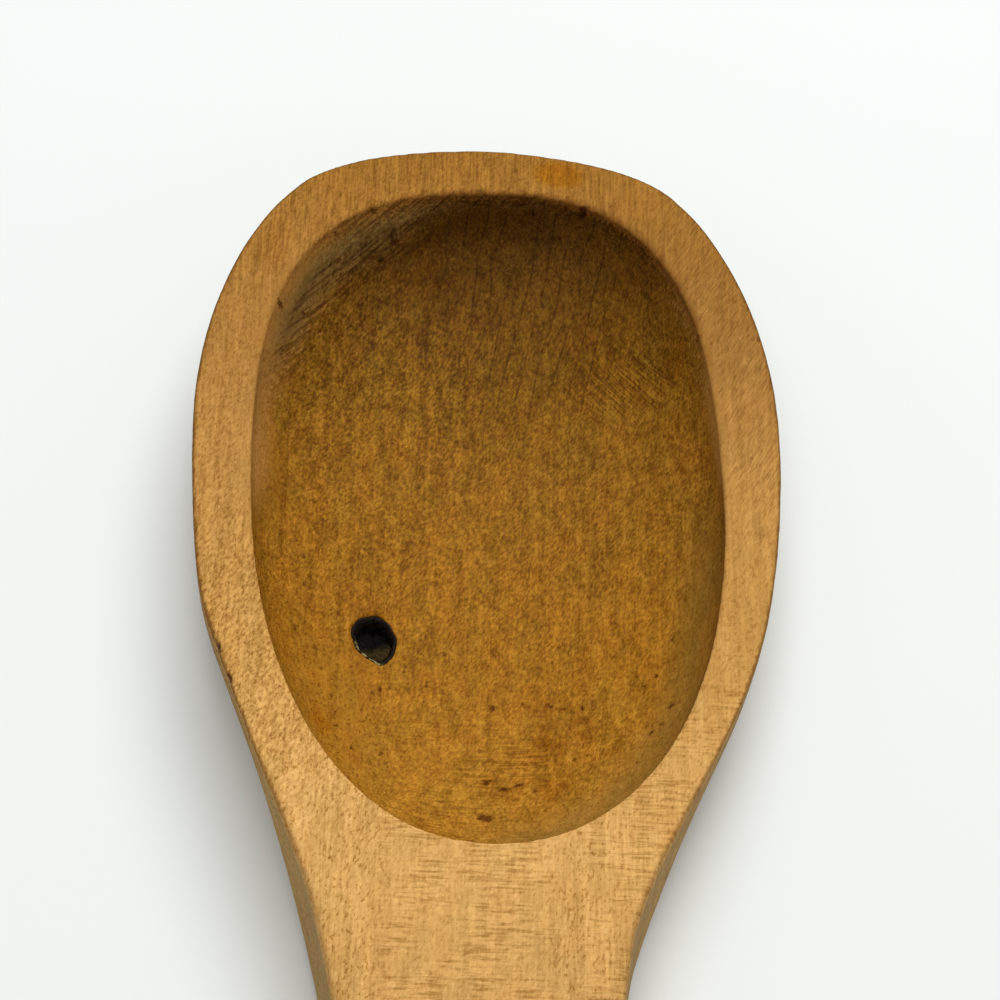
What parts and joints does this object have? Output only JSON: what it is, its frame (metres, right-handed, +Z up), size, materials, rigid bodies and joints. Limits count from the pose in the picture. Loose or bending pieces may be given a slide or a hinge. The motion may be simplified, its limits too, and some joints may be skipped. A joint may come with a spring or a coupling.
{
  "type": "wooden spoon",
  "caption": "Wooden spoon carved from a board: deep oval bowl with a broad flat rim, flaring neck and straight handle, and a dark dead knot in the bowl's floor.",
  "frame": {"origin": "middle of the spoon's bounding box, on the table that it lies on", "axes": "+X to the right of the bowl seen from the handle, +Y from the handle's end to the bowl's tip, +Z up out of the bowl's hollow"},
  "size_m": [0.0714, 0.29, 0.017],
  "materials": {
    "wood": "fine-pored hardwood, sanded, oiled and darkened by use in the bowl",
    "bark": "rough dark bark ring",
    "knot": "dark resin-soaked knot wood, slightly glossy"
  },
  "bodies": {
    "root": {"spoon_body": "wood", "knot_bark": "bark", "knot_core": "knot"}
  },
  "joints": []
}
